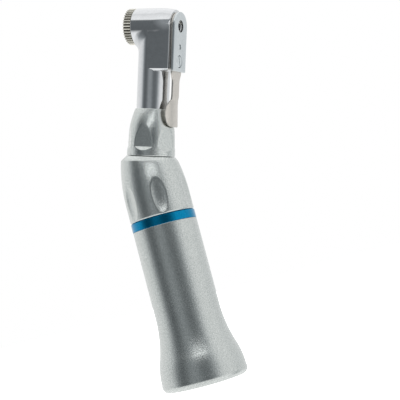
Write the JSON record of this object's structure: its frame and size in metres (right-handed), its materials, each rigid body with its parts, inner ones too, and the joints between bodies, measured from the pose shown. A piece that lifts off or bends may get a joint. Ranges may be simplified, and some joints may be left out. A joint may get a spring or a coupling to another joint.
{
  "type": "dental contra-angle handpiece",
  "caption": "Latch-type contra-angle dental handpiece: flared grip sleeve, blue band, angled neck with union nut, ribbed head cap, swinging latch lever and geared drive shafts inside.",
  "frame": {"origin": "centre of the grip sleeve's flat rear rim, where the motor goes in", "axes": "+Z along the grip's axis towards the head, +X towards the latch side of the head, the bur comes out towards -X; the neck leans 19 degrees from +Z to +X"},
  "size_m": [0.0297, 0.0212, 0.0929],
  "materials": {
    "satin_chrome": "satin",
    "polished_chrome": "polished",
    "blue_anodised": "gloss",
    "nickel": "satin",
    "satin_steel": "satin",
    "spring_steel": "brushed",
    "hardened_steel": "ground",
    "bearing_steel": "ground",
    "machined_steel": "turned",
    "bronze": "turned",
    "black_rubber": "matt"
  },
  "bodies": {
    "housing": {"rear_sleeve": "satin_chrome", "coupling_tube": "machined_steel", "coupling_snap_ring": "spring_steel", "elbow_housing": "satin_chrome", "colour_band": "blue_anodised", "sleeve_seal": "black_rubber", "rear_bearing_outer_race": "bearing_steel", "middle_bearing_outer_race": "bearing_steel", "bearing_spacer": "machined_steel", "rear_lock_ring": "machined_steel", "union_nut": "satin_chrome", "head_housing": "polished_chrome", "neck_bearing_outer_race": "bearing_steel", "front_bush": "bronze", "neck_spacer_tube": "machined_steel", "thrust_washer": "bronze", "neck_lock_ring": "machined_steel", "front_bearing_outer_race": "bearing_steel", "back_bearing_outer_race": "bearing_steel", "preload_washer": "spring_steel", "dust_shield": "machined_steel", "cap_ring": "nickel", "cover_plate": "satin_steel", "pivot_screw": "satin_steel", "plate_dowel": "satin_steel"},
    "rear_shaft": {"rear_drive_shaft": "hardened_steel", "dog_clutch": "hardened_steel", "rear_shaft_gear": "hardened_steel", "rear_bearing_inner_race": "bearing_steel", "middle_bearing_inner_race": "bearing_steel"},
    "rear_ball_sets": {"rear_bearing_balls": "bearing_steel", "middle_bearing_balls": "bearing_steel"},
    "front_shaft": {"front_drive_shaft": "hardened_steel", "front_shaft_gear": "hardened_steel", "head_pinion": "hardened_steel", "neck_bearing_inner_race": "bearing_steel"},
    "neck_ball_set": {"neck_bearing_balls": "bearing_steel"},
    "spindle": {"bur_spindle": "hardened_steel", "spindle_gear": "hardened_steel", "front_bearing_inner_race": "bearing_steel", "back_bearing_inner_race": "bearing_steel"},
    "spindle_ball_sets": {"front_bearing_balls": "bearing_steel", "back_bearing_balls": "bearing_steel"},
    "latch": {"latch_plate": "spring_steel"},
    "lever": {"latch_lever": "spring_steel"}
  },
  "joints": [
    {"name": "rear_shaft_spin", "type": "hinge", "parent": "housing", "child": "rear_shaft", "pos_m": [0, 0, 0.036], "axis": [0, 0, 1], "continuous": true},
    {"name": "rear_balls_roll", "type": "hinge", "parent": "housing", "child": "rear_ball_sets", "pos_m": [0, 0, 0.036], "axis": [0, 0, 1], "continuous": true},
    {"name": "front_shaft_spin", "type": "hinge", "parent": "housing", "child": "front_shaft", "pos_m": [0, 0, 0.0532], "axis": [0.3256, 0, 0.9455], "continuous": true},
    {"name": "neck_balls_roll", "type": "hinge", "parent": "housing", "child": "neck_ball_set", "pos_m": [0, 0, 0.0532], "axis": [0.3256, 0, 0.9455], "continuous": true},
    {"name": "spindle_spin", "type": "hinge", "parent": "housing", "child": "spindle", "pos_m": [0.01149, 0, 0.08658], "axis": [0.9455, 0, -0.3256], "continuous": true},
    {"name": "spindle_balls_roll", "type": "hinge", "parent": "housing", "child": "spindle_ball_sets", "pos_m": [0.01149, 0, 0.08658], "axis": [0.9455, 0, -0.3256], "continuous": true},
    {"name": "latch_swing", "type": "hinge", "parent": "housing", "child": "latch", "pos_m": [0.01432, 0, 0.07661], "axis": [0.9455, 0, -0.3256], "range_deg": [0, 17]},
    {"name": "lever_flex", "type": "hinge", "parent": "latch", "child": "lever", "pos_m": [0.01348, 0, 0.07415], "axis": [0, -1, 0], "range_deg": [0, 9]}
  ],
  "couplings": [
    {"joint": "rear_balls_roll", "follows": "rear_shaft_spin", "ratio": 0.387},
    {"joint": "front_shaft_spin", "follows": "rear_shaft_spin", "ratio": 1},
    {"joint": "neck_balls_roll", "follows": "rear_shaft_spin", "ratio": 0.383},
    {"joint": "spindle_spin", "follows": "rear_shaft_spin", "ratio": 1},
    {"joint": "spindle_balls_roll", "follows": "rear_shaft_spin", "ratio": 0.421},
    {"joint": "lever_flex", "follows": "latch_swing", "ratio": 0.5}
  ]
}
